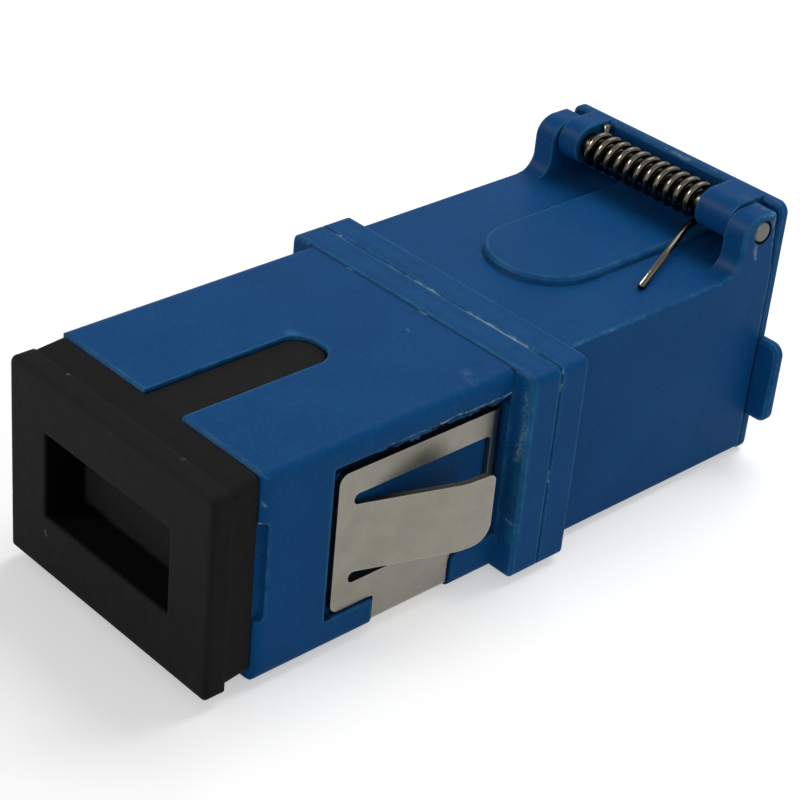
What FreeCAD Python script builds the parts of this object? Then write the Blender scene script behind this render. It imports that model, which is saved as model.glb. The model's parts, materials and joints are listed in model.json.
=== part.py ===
"""Shuttered SC fibre adapter: a feed-through coupler for two push-pull plugs.

Two moulded housing halves are welded at a collar and hold two latch inserts and a split
ceramic sleeve between them.  A dust cap closes the front port.  A spring-loaded shutter on
a hinge pin closes the rear port.  A bent steel clip holds the body in a panel cutout.

Frame: X across the body, Y along the optical axis (front port at -Y), Z up.
The origin is on the optical axis, in the weld plane of the collar.  Units are millimetres.
"""
import FreeCAD
import Part
import math
import os

V = FreeCAD.Vector

# ---------------------------------------------------------------- body
BODY_W = 12.5            # width across the two sides
BODY_H = 9.5             # height, bottom to top
FRONT_L = 14.3           # weld plane to front face
REAR_L = 14.05           # weld plane to rear face
SIDE_WALL = 1.65         # plug opening to body side
TOP_WALL = 0.95          # plug opening to body top and bottom
FRONT_EDGE_R = 0.5       # long edges of the front half
REAR_EDGE_R = 0.22       # long edges of the rear half
FRONT_CORNER_R = 0.5     # upright corners of the front face
MOUTH_CHAMFER = 0.12     # edge break round the front face
PORT_R = 0.4             # inside corners of the plug opening

# ---------------------------------------------------------------- collar
COLLAR_T = 1.55          # each half, along Y
COLLAR_SIDE = 1.05       # how far the collar stands out at each side
COLLAR_RISE = 0.05       # how far it stands out above and below
COLLAR_R = 0.4
COLLAR_BREAK = 0.13
SEAM_CHAMFER = 0.1       # groove left along the weld

# ---------------------------------------------------------------- key slot and keyway
KEY_X = 0.33             # slot centre from the middle of the body
KEY_W = 2.3
KEY_L = 7.7              # length of the slot from either mouth
KEY_END_R = 1.0          # corners of the slot's closed end
KEYWAY_ROOF = 0.4        # wall over the inside keyway, below the pad's top
PLATEAU_H = 0.35         # raised pad over the inside keyway
PLATEAU_SIDE = 1.55      # pad to keyway, at each side
PLATEAU_X = 0.2
PLATEAU_LEAD = 2.75      # pad nose in front of the keyway
PLATEAU_BREAK = 0.13

# ---------------------------------------------------------------- grip notch in the front edge
NOTCH_L = 0.45
NOTCH_D = 0.35
NOTCH_Z = 0.3            # middle of the notch
NOTCH_H = 4.4

# ---------------------------------------------------------------- split sleeve
SLEEVE_BORE_R = 1.25     # takes a 2.5 mm ferrule
SLEEVE_WALL = 0.35
SLEEVE_L = 11.4
SLEEVE_SLIT = 0.5
SLEEVE_CLEAR = 0.05      # radial and end float in the barrels

# ---------------------------------------------------------------- latch inserts
FLANGE_SIDE = 1.0        # flange edge to body side
FLANGE_RISE = 0.7        # flange edge to body top and bottom
FLANGE_T = 1.4
FLANGE_R = 0.4
FLANGE_CLEAR = 0.05      # gap round a flange in its pocket
BARREL_WALL = 0.75
LIP_STEP = 0.2           # barrel mouth wider than the sleeve's bore
LIP_T = 1.15             # thickness of the lip that keeps the sleeve in
LATCH_ROOM = 0.35        # latch arm to the side of the plug opening
LATCH_T = 0.6
LATCH_H = 3.4
LATCH_L = 8.2            # weld plane to latch tip
HOOK_IN = 0.6            # how far a hook reaches in
HOOK_L = 1.2

# ---------------------------------------------------------------- hinge pin and ears
PIN_R = 0.5
PIN_CHAMFER = 0.1
PIN_CLEAR = 0.05         # running clearance in the knuckles
PIN_RISE = 1.75          # pin axis above the body top
PIN_FROM_REAR = 1.05     # pin axis in front of the rear face
EAR_T = 1.15
EAR_FRONT = 1.15         # pin axis to the front edge of an ear
EAR_BACK = 0.8           # pin axis to the rear edge of an ear, at the top
EAR_TOP = 0.75           # pin axis to the top of an ear
EAR_TOP_R = 0.95
EAR_BACK_R = 0.15
EAR_FOOT_R = 0.85
EAR_BREAK = 0.1
PIN_HOLE_BREAK = 0.06    # edge break of the pin hole in an ear
KNUCKLE_WALL = 0.35
KNUCKLE_GAP = 0.06       # side gap between a knuckle and its ear
LEFT_KNUCKLE_W = 1.1
RIGHT_KNUCKLE_W = 1.85

# ---------------------------------------------------------------- shutter
SHUTTER_SHY = 0.05       # plate edge inside the body side
SHUTTER_T = 0.55
SHUTTER_GAP = 0.12       # gap to the rear face when shut
SHUTTER_LOW = 0.3        # plate bottom below the body
SHUTTER_R = 0.5
SHUTTER_BREAK = 0.14
TAB_OUT = 1.15           # finger tab beyond the plate side
TAB_LOW = 2.0            # tab above the plate bottom
TAB_H = 3.95
TAB_R = 0.55
PAD_CLEAR = 0.3          # gap round the pad that fills the plug opening
PAD_T = 0.5

# ---------------------------------------------------------------- shutter spring
WIRE_R = 0.125
WIRE_SIDES = 8           # flats round the wire
COIL_CLEAR = 0.13        # coil to pin, and coil to each knuckle
COIL_TURNS = 11
COIL_STEPS = 12          # straight steps in each turn
LEG_UP = 0.75            # short leg against the shutter
LEG_STRAIGHT = 1.0       # long leg runs square to the pin this far, past the knuckle
LEG_SPREAD = 1.73        # long leg tip beyond the coil end
LEG_REACH = 5.6          # long leg tip in front of the pin

# ---------------------------------------------------------------- panel clip
CLIP_T = 0.25
CLIP_SINK = 0.14         # face of the clip below the body side
CLIP_SINK_LOW = 0.04     # face of the strip below the body bottom
CLIP_LIFT = 0.01         # air under the strip
CLIP_Y0 = -10.4          # front edge
CLIP_LOW = 1.47          # body bottom to the clip's lower edge
CLIP_HIGH = 1.65         # body top to the clip's upper edge
CLIP_R = 0.45
CLIP_BEND = 0.45         # outer radius of the bends into the bridge
FOLD_BEND = 0.75         # outer radius of the rear fold
FOLD_GAP = 0.1           # rear fold to the collar face
CLIP_TUCK = 0.95         # depth of the rear fold
RECESS_GAP = 0.42        # room round the clip in its recess
RECESS_GAP_TOP = 0.55
RECESS_GAP_BOTTOM = 0.1
RECESS_SHY = 0.05        # recess stops this short of the collar face
RECESS_R = 0.1
ARM_LOW = 1.12           # height of the arm below the window
ARM_HIGH = 1.12          # height of the arm above the window
ARM_STEP = 0.38          # the lower arm is this much shorter behind the bridge
ARM_STEP_R = 0.6
SLIT = 0.5               # slit between window edge and flap
WINDOW_LEAD = 0.8        # clip front edge to the window
COLUMN = 0.78            # window to the back of the rear fold
WINDOW_R = 0.25
FLAP_ROOT = 0.25         # end of the slits to the bend of the flap
FLAP_L = 4.5             # between the flap's two bends
FLAP_ANGLE = 19.0        # spring of the flap away from the body
FLAP_BEND = 0.95
TOE_L = 1.5              # end of the flap, bent back along the body
TOE_ANGLE = 5.0
TOE_BEND = 2.0
FLAP_LOW_R = 0.85
FLAP_TOP_R = 0.3
BRIDGE_Y0 = -8.15
BRIDGE_Y1 = -4.15
BRIDGE_GAP = 0.15

# ---------------------------------------------------------------- dust cap
CAP_SHY = 0.25           # plate edge inside the body top and bottom
CAP_T = 0.95
CAP_TOP_R = 0.45
CAP_LOW_R = 0.2
CAP_FACE_BREAK = 0.18
NECK_L = 1.3
NECK_SIDE = 0.07         # side step from plate to neck
NECK_RISE = 0.1          # neck below the plate edge, on top
NECK_LOW = 0.22          # neck above the plate edge, at the bottom
NECK_SHY = 0.13          # neck below the body top at the front face
NECK_SHY_SIDE = 0.2      # neck inside the body side at the front face
NECK_SHY_LOW = 0.5       # neck above the body bottom at the front face
NECK_R = 0.35
CAP_GAP = 0.02           # gap between cap and front face
CAP_CLEAR = 0.1          # gap round the plug of the cap
CAP_END_GAP = 0.7        # end of the cap's plug to the latch tips
CAP_WALL = 0.9
CAP_WEB = 1.2
RECESS_W = 7.85
RECESS_H = 3.9
RECESS_Z = 0.1
RECESS_D = 1.95

# ---------------------------------------------------------------- derived places
TOP = BODY_H / 2
SIDE = BODY_W / 2
PORT_W = BODY_W - 2 * SIDE_WALL
PORT_H = BODY_H - 2 * TOP_WALL
FLANGE_W = BODY_W - 2 * FLANGE_SIDE
FLANGE_H = BODY_H - 2 * FLANGE_RISE
SLEEVE_R = SLEEVE_BORE_R + SLEEVE_WALL
BARREL_R = SLEEVE_R + SLEEVE_CLEAR + BARREL_WALL
BARREL_L = SLEEVE_L / 2 + SLEEVE_CLEAR + LIP_T
LATCH_X = PORT_W / 2 - LATCH_ROOM - LATCH_T
HINGE_Y = REAR_L - PIN_FROM_REAR
HINGE_Z = TOP + PIN_RISE
EAR_IN = SIDE - EAR_T
KNUCKLE_R = PIN_R + PIN_CLEAR + KNUCKLE_WALL
KNUCKLE_X = EAR_IN - KNUCKLE_GAP
PLATE_Y0 = REAR_L + SHUTTER_GAP
COIL_R = PIN_R + COIL_CLEAR + WIRE_R
COIL_X0 = -KNUCKLE_X + LEFT_KNUCKLE_W + COIL_CLEAR + WIRE_R
COIL_X1 = KNUCKLE_X - RIGHT_KNUCKLE_W - COIL_CLEAR - WIRE_R
CLIP_OUT = SIDE - CLIP_SINK
CLIP_IN = CLIP_OUT - CLIP_T
CLIP_FLOOR = CLIP_IN - CLIP_LIFT
CLIP_Z0 = -TOP + CLIP_LOW
CLIP_Z1 = TOP - CLIP_HIGH
CLIP_BACK = -COLLAR_T - FOLD_GAP
WINDOW_Y0 = CLIP_Y0 + WINDOW_LEAD
WINDOW_Y1 = CLIP_BACK - COLUMN
WINDOW_Z0 = CLIP_Z0 + ARM_LOW
WINDOW_Z1 = CLIP_Z1 - ARM_HIGH
FLAP_Z0 = WINDOW_Z0 + SLIT
FLAP_Z1 = WINDOW_Z1 - SLIT
STRIP_LOW = -TOP + CLIP_SINK_LOW
STRIP_TOP = STRIP_LOW + CLIP_T
MOUTH = -FRONT_L
CAP_BACK = MOUTH - CAP_GAP
PLATE_BACK = CAP_BACK - NECK_L
CAP_FACE = PLATE_BACK - CAP_T


# ---------------------------------------------------------------- shape helpers
def box(x0, x1, y0, y1, z0, z1):
    """Block between two corners."""
    return Part.makeBox(x1 - x0, y1 - y0, z1 - z0, V(x0, y0, z0))


def rounded_wire(corners, place):
    """Closed wire through corners (a, b, radius); place turns (a, b) into a point."""
    count = len(corners)
    edges = []
    starts = []
    ends = []
    for i in range(count):
        a, b, radius = corners[i]
        here = V(a, b, 0)
        before = V(corners[i - 1][0], corners[i - 1][1], 0) - here
        after = V(corners[(i + 1) % count][0], corners[(i + 1) % count][1], 0) - here
        before.normalize()
        after.normalize()
        if radius == 0:
            starts.append(here)
            ends.append(here)
            continue
        half = before.getAngle(after) / 2
        reach = radius / math.tan(half)
        middle = before + after
        middle.normalize()
        centre = here + middle * (radius / math.sin(half))
        start = here + before * reach
        end = here + after * reach
        top = centre - middle * radius
        starts.append(start)
        ends.append(end)
        edges.append(Part.Arc(place(start), place(top), place(end)).toShape())
    for i in range(count):
        leave = ends[i]
        arrive = starts[(i + 1) % count]
        if (arrive - leave).Length > 1e-6:
            edges.append(Part.LineSegment(place(leave), place(arrive)).toShape())
    return Part.Wire(Part.__sortEdges__(edges))


def slab_x(corners, x0, x1):
    """Profile in (Y, Z), drawn from x0 to x1."""
    wire = rounded_wire(corners, lambda p: V(x0, p.x, p.y))
    return Part.Face(wire).extrude(V(x1 - x0, 0, 0))


def slab_y(corners, y0, y1):
    """Profile in (X, Z), drawn from y0 to y1."""
    wire = rounded_wire(corners, lambda p: V(p.x, y0, p.y))
    return Part.Face(wire).extrude(V(0, y1 - y0, 0))


def slab_z(corners, z0, z1):
    """Profile in (X, Y), drawn from z0 to z1."""
    wire = rounded_wire(corners, lambda p: V(p.x, p.y, z0))
    return Part.Face(wire).extrude(V(0, 0, z1 - z0))


def rectangle(a0, a1, b0, b1, radius):
    """Corners of a rounded rectangle."""
    return [(a0, b0, radius), (a1, b0, radius), (a1, b1, radius), (a0, b1, radius)]


def prism_y(width, height, y0, y1, radius, z=0.0):
    """Rounded bar along Y, centred on X = 0."""
    half = width / 2
    return slab_y(rectangle(-half, half, z - height / 2, z + height / 2, radius), y0, y1)


def rod_x(radius, x0, x1, y, z):
    """Round bar along X."""
    return Part.makeCylinder(radius, x1 - x0, V(x0, y, z), V(1, 0, 0))


def rod_y(radius, y0, y1):
    """Round bar along the optical axis."""
    return Part.makeCylinder(radius, y1 - y0, V(0, y0, 0), V(0, 1, 0))


def edges_at_y(shape, y):
    """Edges that lie wholly in the plane at y."""
    found = []
    for edge in shape.Edges:
        if abs(edge.BoundBox.YMin - y) < 1e-4 and abs(edge.BoundBox.YMax - y) < 1e-4:
            found.append(edge)
    return found


def edges_at_x(shape, x):
    """Edges that lie wholly in the plane at x."""
    found = []
    for edge in shape.Edges:
        if abs(edge.BoundBox.XMin - x) < 1e-4 and abs(edge.BoundBox.XMax - x) < 1e-4:
            found.append(edge)
    return found


def mirror_x(shape):
    """Same shape on the other side of the body."""
    return shape.mirror(V(0, 0, 0), V(1, 0, 0))


def bent_sheet(path, thick):
    """Outline of a bent sheet from the corners (a, b, radius) of its outer face.

    The sheet lies to the left of the path, and each radius is that of the outer face.
    """
    inner = []
    for i in range(len(path)):
        a, b, radius = path[i]
        here = V(a, b, 0)
        ways = []
        for j in (i, i + 1):
            if 0 < j < len(path):
                way = V(path[j][0] - path[j - 1][0], path[j][1] - path[j - 1][1], 0)
                way.normalize()
                ways.append(way)
        left = [V(-way.y, way.x, 0) for way in ways]
        middle = left[0] + left[-1]
        middle.normalize()
        point = here + middle * (thick / middle.dot(left[0]))
        turns_left = ways[0].cross(ways[-1]).z > 0
        other = 0 if radius == 0 else radius - thick if turns_left else radius + thick
        inner.append((point.x, point.y, other))
    return path + inner[::-1]


def key_plan(y0, y1, shy):
    """Plan of the key slot from y0 to its round end at y1, shrunk by shy at the sides."""
    half = KEY_W / 2 - shy
    end_r = min(KEY_END_R - shy, half * 0.98)
    return [(KEY_X - half, y0, 0), (KEY_X + half, y0, 0),
            (KEY_X + half, y1, end_r), (KEY_X - half, y1, end_r)]


# ---------------------------------------------------------------- housings
def collar_half(direction):
    """Half of the collar, from the weld plane towards direction (-1 front, +1 rear)."""
    width = BODY_W + 2 * COLLAR_SIDE
    height = BODY_H + 2 * COLLAR_RISE
    outer = direction * COLLAR_T
    half = prism_y(width, height, min(0, outer), max(0, outer), COLLAR_R)
    half = half.makeChamfer(COLLAR_BREAK, edges_at_y(half, outer))
    return half.makeChamfer(SEAM_CHAMFER, edges_at_y(half, 0))


def flange_pocket(direction):
    """Space for an insert flange behind the weld plane."""
    deep = direction * FLANGE_T
    return prism_y(FLANGE_W + 2 * FLANGE_CLEAR, FLANGE_H + 2 * FLANGE_CLEAR,
                   min(0, deep), max(0, deep), FLANGE_R)


def clip_recess():
    """Recess for the clip: both sides, the fold pocket and the groove under the body."""
    z0 = CLIP_Z0 - RECESS_GAP_BOTTOM
    z1 = CLIP_Z1 + RECESS_GAP_TOP
    step = z0 + ARM_STEP
    front = CLIP_Y0 - RECESS_GAP
    back = -COLLAR_T - RECESS_SHY
    y0 = BRIDGE_Y0 - BRIDGE_GAP
    y1 = BRIDGE_Y1 + BRIDGE_GAP
    side = slab_x([(front, z0, RECESS_R), (y0, z0, 0), (y0, -TOP - 1, 0), (y1, -TOP - 1, 0),
                   (y1, step, ARM_STEP_R - BRIDGE_GAP), (back, step, 0), (back, z1, 0),
                   (front, z1, RECESS_R)], CLIP_FLOOR, SIDE + 1)
    fold = box(CLIP_OUT - CLIP_TUCK - 0.1, SIDE, CLIP_BACK - FOLD_BEND - 0.05, back, step, z1)
    half = side.fuse(fold)
    core_low = STRIP_TOP + CLIP_LIFT
    core = slab_y([(-CLIP_FLOOR, core_low, CLIP_BEND - CLIP_T),
                   (CLIP_FLOOR, core_low, CLIP_BEND - CLIP_T),
                   (CLIP_FLOOR, z0 + 1, 0), (-CLIP_FLOOR, z0 + 1, 0)], y0, y1)
    ring = box(-SIDE - 1, SIDE + 1, y0, y1, -TOP - 1, z0).cut(core)
    return half.fuse([mirror_x(half), ring])


def front_housing():
    """Front half: open port, key slot, clip recess and half of the collar."""
    body = prism_y(BODY_W, BODY_H, MOUTH, 0, FRONT_EDGE_R)
    body = body.makeChamfer(MOUTH_CHAMFER, edges_at_y(body, MOUTH))
    plan = slab_z([(-SIDE, MOUTH, FRONT_CORNER_R), (SIDE, MOUTH, FRONT_CORNER_R),
                   (SIDE, 0, 0), (-SIDE, 0, 0)], -TOP - 1, TOP + 1)
    body = body.common(plan)
    body = body.fuse(collar_half(-1))
    body = body.cut(prism_y(PORT_W, PORT_H, MOUTH - 1, 0, PORT_R))
    body = body.cut(flange_pocket(-1))
    body = body.cut(slab_z(key_plan(MOUTH - 1, MOUTH + KEY_L, 0), PORT_H / 2 - 0.5, TOP + 1))
    body = body.cut(clip_recess())
    low = NOTCH_Z - NOTCH_H / 2
    high = NOTCH_Z + NOTCH_H / 2
    notch = slab_x([(MOUTH - 1, low, 0), (MOUTH + NOTCH_L, low, 0.2),
                    (MOUTH + NOTCH_L, high, 0.2), (MOUTH - 1, high, 0)],
                   SIDE - NOTCH_D, SIDE + 1)
    body = body.cut(notch.fuse(mirror_x(notch)))
    return body.removeSplitter()


def ear(side):
    """One hinge ear, with a curved foot in front and a back that leans clear of the door."""
    front = HINGE_Y - EAR_FRONT
    back = HINGE_Y + EAR_BACK
    low = TOP - 0.5
    high = HINGE_Z + EAR_TOP
    corners = [(front - EAR_FOOT_R, TOP, 0), (front, TOP, EAR_FOOT_R - 0.001),
               (front, high, EAR_TOP_R), (back, high, EAR_BACK_R), (REAR_L, TOP, 0),
               (REAR_L, low, 0), (front - EAR_FOOT_R, low, 0)]
    inner = side * EAR_IN
    outer = side * SIDE
    shape = slab_x(corners, min(inner, outer), max(inner, outer))
    rim = [e for e in edges_at_x(shape, outer) if e.BoundBox.ZMax > TOP + EAR_BREAK]
    return shape.makeChamfer(EAR_BREAK, rim)


def rear_housing():
    """Rear half: port behind the shutter, keyway under its pad, ears and half of the collar."""
    body = prism_y(BODY_W, BODY_H, 0, REAR_L, REAR_EDGE_R)
    keyway_end = REAR_L - KEY_L
    nose = KEY_W / 2 + PLATEAU_SIDE
    pad = slab_z([(PLATEAU_X - nose, keyway_end - PLATEAU_LEAD, nose * 0.98),
                  (PLATEAU_X + nose, keyway_end - PLATEAU_LEAD, nose * 0.98),
                  (PLATEAU_X + nose, REAR_L, 0), (PLATEAU_X - nose, REAR_L, 0)],
                 TOP - 0.5, TOP + PLATEAU_H)
    rim = [e for e in pad.Edges if e.BoundBox.ZMin > TOP and e.BoundBox.YMin < REAR_L - 1e-4]
    pad = pad.makeChamfer(PLATEAU_BREAK, rim)
    body = body.fuse([pad, ear(-1), ear(1), collar_half(1)])
    body = body.cut(prism_y(PORT_W, PORT_H, 0, REAR_L + 1, PORT_R))
    body = body.cut(flange_pocket(1))
    keyway = box(KEY_X - KEY_W / 2, KEY_X + KEY_W / 2, keyway_end, REAR_L + 1,
                 0, TOP + PLATEAU_H - KEYWAY_ROOF)
    body = body.cut(keyway)
    body = body.cut(rod_x(PIN_R, -SIDE - 1, SIDE + 1, HINGE_Y, HINGE_Z))
    lead = Part.makeCone(PIN_R, PIN_R + PIN_HOLE_BREAK, PIN_HOLE_BREAK,
                         V(SIDE - PIN_HOLE_BREAK, HINGE_Y, HINGE_Z), V(1, 0, 0))
    return body.cut([lead, mirror_x(lead)]).removeSplitter()


# ---------------------------------------------------------------- optics and latches
def latch_insert(direction):
    """Flange, half of the sleeve barrel and two hooked arms, towards direction."""
    insert = prism_y(FLANGE_W, FLANGE_H, -FLANGE_T, 0, FLANGE_R)
    barrel = rod_y(BARREL_R, -BARREL_L, 0)
    barrel = barrel.makeChamfer(0.25, edges_at_y(barrel, -BARREL_L))
    insert = insert.fuse(barrel)
    outer = LATCH_X + LATCH_T
    inner = LATCH_X - HOOK_IN
    tip = -LATCH_L
    arm = slab_z([(LATCH_X, -FLANGE_T + 0.5, 0), (LATCH_X, tip + HOOK_L, 0),
                  (inner, tip + HOOK_L, 0), (inner, tip + HOOK_L - 0.3, 0),
                  (LATCH_X + 0.1, tip, 0), (outer, tip, 0.2), (outer, -FLANGE_T + 0.5, 0)],
                 -LATCH_H / 2, LATCH_H / 2)
    insert = insert.fuse([arm, mirror_x(arm)])
    seat = rod_y(SLEEVE_R + SLEEVE_CLEAR, -SLEEVE_L / 2 - SLEEVE_CLEAR, 1)
    mouth = rod_y(SLEEVE_BORE_R + LIP_STEP, -BARREL_L - 1, 0)
    insert = insert.cut(seat.fuse(mouth)).removeSplitter()
    if direction > 0:
        insert = insert.mirror(V(0, 0, 0), V(0, 1, 0))
    return insert


def alignment_sleeve():
    """Split tube that lines up two ferrules."""
    tube = rod_y(SLEEVE_R, -SLEEVE_L / 2, SLEEVE_L / 2)
    tube = tube.cut(rod_y(SLEEVE_BORE_R, -SLEEVE_L, SLEEVE_L))
    slit = SLEEVE_SLIT / 2
    return tube.cut(box(-slit, slit, -SLEEVE_L, SLEEVE_L, -SLEEVE_R - 1, 0))


# ---------------------------------------------------------------- hinge, spring and shutter
def hinge_pin():
    """Pin pressed through both ears."""
    pin = rod_x(PIN_R, -SIDE, SIDE, HINGE_Y, HINGE_Z)
    ends = [e for e in pin.Edges if abs(e.BoundBox.XMax - e.BoundBox.XMin) < 1e-4]
    return pin.makeChamfer(PIN_CHAMFER, ends)


def knuckle(x0, x1):
    """Hinge knuckle with a flat web to the shutter plate."""
    low = HINGE_Z - KNUCKLE_R
    high = HINGE_Z + KNUCKLE_R
    front = HINGE_Y - KNUCKLE_R
    back = PLATE_Y0 + SHUTTER_T / 2
    corners = [(front, low, KNUCKLE_R - 0.001), (back, low, 0), (back, high, 0),
               (front, high, KNUCKLE_R - 0.001)]
    return slab_x(corners, x0, x1)


def shutter():
    """Hinged door with finger tabs, two knuckles and a pad that fills the rear port."""
    half = SIDE - SHUTTER_SHY
    low = -TOP - SHUTTER_LOW
    high = HINGE_Z + KNUCKLE_R
    out = half + TAB_OUT
    tab_low = low + TAB_LOW
    tab_high = tab_low + TAB_H
    right = [(half, low, SHUTTER_R), (half, tab_low, 0), (out, tab_low, TAB_R),
             (out, tab_high, TAB_R), (half, tab_high, 0), (half, high, SHUTTER_R)]
    left = [(-x, z, r) for x, z, r in reversed(right)]
    back = PLATE_Y0 + SHUTTER_T
    plate = slab_y(right + left, PLATE_Y0, back)
    rims = edges_at_y(plate, PLATE_Y0) + edges_at_y(plate, back)
    plate = plate.makeChamfer(SHUTTER_BREAK, rims)
    pad_front = REAR_L - PAD_T
    pad = prism_y(PORT_W - 2 * PAD_CLEAR, PORT_H - 2 * PAD_CLEAR, pad_front,
                  PLATE_Y0 + SHUTTER_T / 2, PORT_R)
    pad = pad.makeChamfer(PAD_T / 2, edges_at_y(pad, pad_front))
    door = plate.fuse([pad, knuckle(-KNUCKLE_X, -KNUCKLE_X + LEFT_KNUCKLE_W),
                       knuckle(KNUCKLE_X - RIGHT_KNUCKLE_W, KNUCKLE_X)])
    door = door.cut(rod_x(PIN_R + PIN_CLEAR, -SIDE, SIDE, HINGE_Y, HINGE_Z))
    return door.removeSplitter()


def spring_path():
    """Points along the middle of the spring wire, from its short leg to its long one."""
    rest_z = TOP + WIRE_R
    down = HINGE_Z - rest_z
    slope = math.atan2(down, LEG_REACH)
    lead = math.asin(COIL_R / math.hypot(down, LEG_REACH))
    turn = 2 * math.pi * COIL_TURNS + math.pi / 2 + lead - slope
    steps = round(turn / (2 * math.pi) * COIL_STEPS)
    points = [V(COIL_X0, HINGE_Y + COIL_R, HINGE_Z + LEG_UP)]
    for i in range(steps + 1):
        angle = -turn * i / steps
        x = COIL_X0 + (COIL_X1 - COIL_X0) * i / steps
        points.append(V(x, HINGE_Y + COIL_R * math.cos(angle),
                        HINGE_Z + COIL_R * math.sin(angle)))
    tip = V(COIL_X1 + LEG_SPREAD, HINGE_Y - LEG_REACH, rest_z)
    away = V(0, tip.y - points[-1].y, tip.z - points[-1].z)
    away.normalize()
    return points + [points[-1] + away * LEG_STRAIGHT, tip]


def shutter_spring():
    """Torsion spring: short leg up against the shutter, long leg forward on the body top.

    The wire has flats instead of a round section, which keeps its long coil light.
    """
    points = spring_path()
    last = len(points) - 1
    rings = []
    for i in range(last + 1):
        along = points[min(i + 1, last)] - points[max(i - 1, 0)]
        across = along.cross(V(1, 0, 0))
        across.normalize()
        side = across.cross(along)
        side.normalize()
        corners = []
        for k in range(WIRE_SIDES + 1):
            angle = 2 * math.pi * k / WIRE_SIDES
            corners.append(points[i] + across * (WIRE_R * math.cos(angle))
                           + side * (WIRE_R * math.sin(angle)))
        rings.append(Part.makePolygon(corners))
    return Part.makeLoft(rings, True, True)


# ---------------------------------------------------------------- panel clip
def clip_flap():
    """Sprung flap that stands off the right side, with its toe bent back along the body."""
    path = [(CLIP_OUT, WINDOW_Y0 - 0.3, 0)]
    x = CLIP_OUT
    y = WINDOW_Y0 + FLAP_ROOT
    for angle, length, radius in ((FLAP_ANGLE, FLAP_L, FLAP_BEND), (TOE_ANGLE, TOE_L, TOE_BEND)):
        path.append((x, y, radius))
        x += length * math.sin(math.radians(angle))
        y += length * math.cos(math.radians(angle))
    path.append((x, y, 0))
    sheet = slab_z(bent_sheet(path, CLIP_T), FLAP_Z0, FLAP_Z1)
    end = y - 0.02
    trim = slab_x([(WINDOW_Y0 - 1, FLAP_Z0, 0), (end, FLAP_Z0, FLAP_LOW_R),
                   (end, FLAP_Z1, FLAP_TOP_R), (WINDOW_Y0 - 1, FLAP_Z1, 0)],
                  CLIP_IN - 1, x + 1)
    return sheet.common(trim)


def clip_side(leg):
    """Right side of the clip: frame down to z = leg, sprung flap and rear fold."""
    step = CLIP_Z0 + ARM_STEP
    frame = slab_x([(CLIP_Y0, CLIP_Z0, CLIP_R), (BRIDGE_Y0, CLIP_Z0, BRIDGE_GAP),
                    (BRIDGE_Y0, leg, 0), (BRIDGE_Y1, leg, 0), (BRIDGE_Y1, step, ARM_STEP_R),
                    (WINDOW_Y1, step, 0), (WINDOW_Y1, CLIP_Z1, 0),
                    (CLIP_Y0, CLIP_Z1, CLIP_R)], CLIP_IN, CLIP_OUT)
    slit_r = SLIT / 2
    window = slab_x([(WINDOW_Y0, WINDOW_Z0, slit_r), (WINDOW_Y1, WINDOW_Z0, WINDOW_R),
                     (WINDOW_Y1, WINDOW_Z1, WINDOW_R), (WINDOW_Y0, WINDOW_Z1, slit_r)],
                    CLIP_IN - 1, CLIP_OUT + 1)
    fold = slab_z(bent_sheet([(CLIP_OUT, WINDOW_Y1, 0), (CLIP_OUT, CLIP_BACK, FOLD_BEND),
                              (CLIP_OUT - CLIP_TUCK, CLIP_BACK, 0)], CLIP_T), step, CLIP_Z1)
    root = box(CLIP_IN, CLIP_OUT, WINDOW_Y0 - 0.1, WINDOW_Y0 + slit_r,
               FLAP_Z0 - slit_r, FLAP_Z1 + slit_r)
    for z in (FLAP_Z0 - slit_r, FLAP_Z1 + slit_r):
        root = root.cut(rod_x(slit_r, CLIP_IN - 1, CLIP_OUT + 1, WINDOW_Y0 + slit_r, z))
    return frame.cut(window).fuse([root, fold, clip_flap()])


def mounting_clip():
    """One bent strip: a sprung side on each side of the body and a bridge below it."""
    leg = STRIP_LOW + CLIP_BEND + 0.05
    side = clip_side(leg)
    bridge = slab_y(bent_sheet([(-CLIP_OUT, leg, 0), (-CLIP_OUT, STRIP_LOW, CLIP_BEND),
                                (CLIP_OUT, STRIP_LOW, CLIP_BEND), (CLIP_OUT, leg, 0)], CLIP_T),
                    BRIDGE_Y0, BRIDGE_Y1)
    return side.fuse([mirror_x(side), bridge]).removeSplitter()


# ---------------------------------------------------------------- dust cap
def section(half, z0, z1, y):
    """Outline of the cap's neck across the optical axis."""
    return rounded_wire(rectangle(-half, half, z0, z1, NECK_R), lambda p: V(p.x, y, p.y))


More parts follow.
